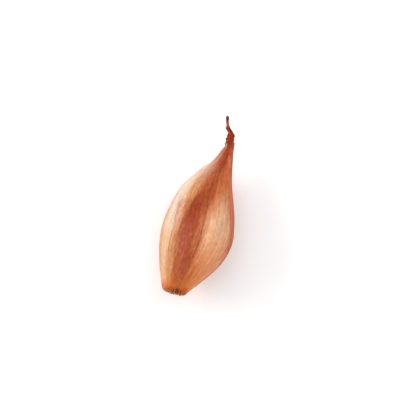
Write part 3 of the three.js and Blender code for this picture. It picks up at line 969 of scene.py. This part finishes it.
# ---------------------------------------------------------------- the root stubs
# The dead roots, broken or trimmed off short. They grow from the plate in a dense tuft, steep in its middle
# and splayed out at its edge, each one thin, dry, a little kinked and ragged at its broken end.

STUB_COUNT = 270
STUB_LENGTHS = (0.0006, 0.0016)
STUB_RADII = (0.00015, 0.00032)  # thinnest and thickest at the base
STUB_SINK = 0.0005  # how deep its base is in the plate
STUB_EDGE_GAP = 0.0003  # between the outermost ones and the plate's edge
STUB_SPLAYS = (0.1, 0.5)  # how far the middle ones lean out, and how much further the outermost do
STUB_STRAYS = (0.25, 0.2, 0.3)  # how far it may stray round the plate, in its splay and sideways
STUB_BENDS = (0.0, 0.3)  # as shares of the length
STUB_KINKS = (0.3, 0.9)  # as shares of the radius, as the next three are
STUB_TAPER = 0.35
STUB_WITHER = 0.22
STUB_RAGGED = (-0.9, 0.4)
STUB_SIDES, STUB_ROWS = 8, 8
STUB_SEED = 11
GOLDEN_ANGLE = math.pi * (3 - math.sqrt(5))


def root_stub(number, rng):
    """One root stub, from inside the plate to its broken end, and the values that its finish reads."""
    round_stray, splay_stray, side_stray = STUB_STRAYS
    share = math.sqrt((number + 0.5) / STUB_COUNT)
    turn = number * GOLDEN_ANGLE + rng.uniform(-round_stray, round_stray)
    out = np.array([math.cos(turn), 0, math.sin(turn)])
    beside = np.array([-math.sin(turn), 0, math.cos(turn)])
    base = out * share * (plate_radius - STUB_EDGE_GAP) - np.array([0, plate_height(share), 0])
    splay = STUB_SPLAYS[0] + STUB_SPLAYS[1] * share + rng.uniform(-splay_stray, splay_stray)
    sideways = rng.uniform(-side_stray, side_stray)
    direction = unit(np.array([0, -1, 0]) + out * splay + beside * sideways)
    length = rng.uniform(*STUB_LENGTHS)
    radius = rng.uniform(*STUB_RADII)
    step = np.linspace(0, 1, STUB_ROWS)
    reach = -STUB_SINK + (length + STUB_SINK) * step
    bend = rng.uniform(*STUB_BENDS) * length * step**2
    kink = radius * rng.uniform(*STUB_KINKS) * np.sin(rng.uniform(3, 7) * step + rng.uniform(0, 6))
    middles = base + np.outer(reach, direction) + np.outer(bend, out) + np.outer(kink * step, beside)
    one = unit(np.cross(direction, [0.3, 0.2, 0.9]))
    other = np.cross(direction, one)
    angle = np.linspace(0, math.tau, STUB_SIDES, endpoint=False)
    wither = 1 + STUB_WITHER * rng.uniform(-1, 1, (STUB_ROWS, STUB_SIDES))
    radii = radius * (1 - STUB_TAPER * step)[:, None] * wither
    circle = np.outer(np.cos(angle), one) + np.outer(np.sin(angle), other)
    rings = middles[:, None] + radii[..., None] * circle
    ragged = rng.uniform(*STUB_RAGGED, STUB_SIDES) * radius
    rings[-1] += np.outer(ragged, direction)
    return rings + plate_place, {"reach": step[:, None], "tint": rng.uniform(0, 1)}


stub_rng = np.random.default_rng(STUB_SEED)
stubs = [root_stub(number, stub_rng) for number in range(STUB_COUNT)]
make_piece("root_stubs", stubs, dry_root)

# ---------------------------------------------------------------- the frayed skin round the roots
# The skin's rim is torn into a ring of small papery tatters, some of them dried almost black. They are part
# of the skin, and stand out round the outermost roots or curl in between them.

TATTER_COUNT = 84
TATTER_START = 0.35  # how far down the curve of the rim a tatter begins
TATTER_LEAVES = (0.55, 0.95)  # and how far down it leaves the curve
TATTER_ON_RIM = 0.6  # the share of it that lies on the curve
TATTER_LENGTHS = (0.0001, 0.0013)
TATTER_HALF_WIDTHS = (0.00012, 0.0005)
TATTER_THICKNESS = 0.00013
TATTER_LIGHTS = (0.45, 1.3)  # how dark or light a tatter is beside the skin
TATTER_LEANS = (-0.9, -0.1)  # how far it leans in over the roots
TATTER_LIFTS = (0.00006, 0.00016)  # how far its base and its tip stand off the skin
TATTER_SPREAD = 0.8  # how far it may be from its place, in steps from one tatter to the next
TATTER_CUP = 0.2
TATTER_STEPS, TATTER_COLUMNS = 12, 7
TATTER_SEED = 41


def tatter(number, rng):
    """One tatter, which follows the rim's curve and then curls past it, and the values for its finish."""
    angle = (number + rng.uniform(-TATTER_SPREAD, TATTER_SPREAD)) * math.tau / TATTER_COUNT
    leave = rng.uniform(*TATTER_LEAVES)
    step = np.linspace(0, 1, TATTER_STEPS)
    on_rim = np.minimum(TATTER_START + (leave - TATTER_START) * step / TATTER_ON_RIM, leave)
    walls, alongs = smooth_rows(RIM_CURVE, 1 - on_rim).T
    base = skin_at(np.full(TATTER_STEPS, angle), alongs, walls)
    outward = np.array([math.cos(angle), 0, math.sin(angle)])
    free = np.maximum(0, step - TATTER_ON_RIM) / (1 - TATTER_ON_RIM)
    past = rng.uniform(*TATTER_LENGTHS) * free
    leaning = rng.uniform(*TATTER_LEANS)
    middles = base + np.outer(past, unit(np.array([0, -1, 0]) + leaning * outward))
    middles = middles + np.outer(np.interp(step, (0, 1), TATTER_LIFTS), outward)
    forward = unit(np.gradient(middles, axis=0))
    sides = np.tile([-math.sin(angle), 0, math.cos(angle)], (TATTER_STEPS, 1))
    half_widths = rng.uniform(*TATTER_HALF_WIDTHS) * (1 - 0.75 * step**2)
    half_widths = half_widths * (1 + rng.uniform(-0.2, 0.2, TATTER_STEPS))
    upwards = unit(np.cross(forward, sides))
    rings = ribbon(middles, sides, upwards, half_widths, TATTER_THICKNESS, TATTER_CUP, TATTER_COLUMNS)
    grain = grain_of(angle, middles[:, 1:2] + np.zeros(rings.shape[:2]))
    tone = skin_tone(np.full((1, 1), angle), np.zeros((1, 1))) * rng.uniform(*TATTER_LIGHTS)
    return rings + set_down, {"grain": grain, "tone": tone}


tatter_rng = np.random.default_rng(TATTER_SEED)
tatters = [tatter(number, tatter_rng) for number in range(TATTER_COUNT)]
make_piece("rim_tatters", tatters, dry_skin)

# ---------------------------------------------------------------- the studio
# A pale floor that runs out of sight, a pale sky that is brighter at the left, soft lamps, and a camera
# that looks down on the shallot from over its root end.

CAMERA_AZIMUTH = 20.16  # degrees round to the right from behind the roots
CAMERA_ELEVATION = 78
CAMERA_DISTANCE = 0.4932
NEAR_SIDE = -90  # the camera's own side, in degrees round from the view's right
LOOK_AT = Vector((-0.00427, 0.0141, 0.020))
LENS, SENSOR = 85, 36
FLOOR_SIZE = 4.0
FLOOR_PAINT = colour(250, 250, 250)
FLOOR_GLOW = 0.12  # it is lit a little from below, as a light table is
SKY_PAINT = colour(250, 250, 250)
SKY_STRENGTHS = (0.34, 0.84)  # at the view's right and at its left

# Soft lamps: name, degrees round from the view's right, height in degrees, distance, size, watts
SOFTBOXES = [
    ("left_softbox", 165, 30, 0.6, (0.5, 0.3), 1.9),
    ("right_softbox", 20, 40, 0.7, (0.3, 0.3), 1.2),
    ("top_fill", 95, 70, 0.9, (0.8, 0.8), 2.1),
]


def view_direction(turn, height):
    """A direction from the shallot: turn is counted from the view's right, height from the floor."""
    turn, height = math.radians(turn + CAMERA_AZIMUTH), math.radians(height)
    return Vector((math.cos(turn) * math.cos(height), math.sin(turn) * math.cos(height), math.sin(height)))


def put_facing(name, data, turn, height, distance):
    """Puts a lamp or a camera this way and this far from LOOK_AT, and turns it to face that."""
    thing = put(name, data)
    thing.location = LOOK_AT + distance * view_direction(turn, height)
    thing.rotation_mode = "QUATERNION"
    thing.rotation_quaternion = (LOOK_AT - thing.location).to_track_quat("-Z", "Y")
    return thing


def add_softbox(name, turn, height, distance, size, watts):
    lamp = bpy.data.lights.new(name, "AREA")
    lamp.shape = "RECTANGLE"
    lamp.size, lamp.size_y = size
    lamp.energy = watts
    put_facing(name, lamp, turn, height, distance)


def add_floor():
    half = FLOOR_SIZE / 2
    mesh = bpy.data.meshes.new("floor")
    corners = [(-half, -half, 0), (half, -half, 0), (half, half, 0), (-half, half, 0)]
    mesh.from_pydata(corners, [], [(0, 1, 2, 3)])
    mesh.materials.append(Finish("floor_paint").set({
        "Base Color": FLOOR_PAINT,
        "Roughness": 0.7,
        "Specular IOR Level": 0.2,
        "Emission Color": FLOOR_PAINT,
        "Emission Strength": FLOOR_GLOW,
    }))
    put("floor", mesh)


def add_sky():
    world = bpy.data.worlds.new("pale_sky")
    world.use_nodes = True
    tree = world.node_tree
    background = tree.nodes["Background"]
    background.inputs["Color"].default_value = SKY_PAINT
    direction = tree.nodes.new("ShaderNodeTexCoord").outputs["Generated"]
    leftness = tree.nodes.new("ShaderNodeVectorMath")
    leftness.operation = "DOT_PRODUCT"
    leftness.inputs[1].default_value = view_direction(180, 0)
    tree.links.new(direction, leftness.inputs[0])
    strength = tree.nodes.new("ShaderNodeMapRange")
    strength.inputs["From Min"].default_value = -1
    strength.inputs["To Min"].default_value, strength.inputs["To Max"].default_value = SKY_STRENGTHS
    tree.links.new(leftness.outputs["Value"], strength.inputs["Value"])
    tree.links.new(strength.outputs["Result"], background.inputs["Strength"])
    bpy.context.scene.world = world


def add_camera():
    data = bpy.data.cameras.new("camera")
    data.lens, data.sensor_width = LENS, SENSOR
    camera = put_facing("camera", data, NEAR_SIDE, CAMERA_ELEVATION, CAMERA_DISTANCE)
    bpy.context.scene.camera = camera


add_floor()
add_sky()
add_camera()
for softbox in SOFTBOXES:
    add_softbox(*softbox)
bpy.context.scene.view_settings.view_transform = "Standard"
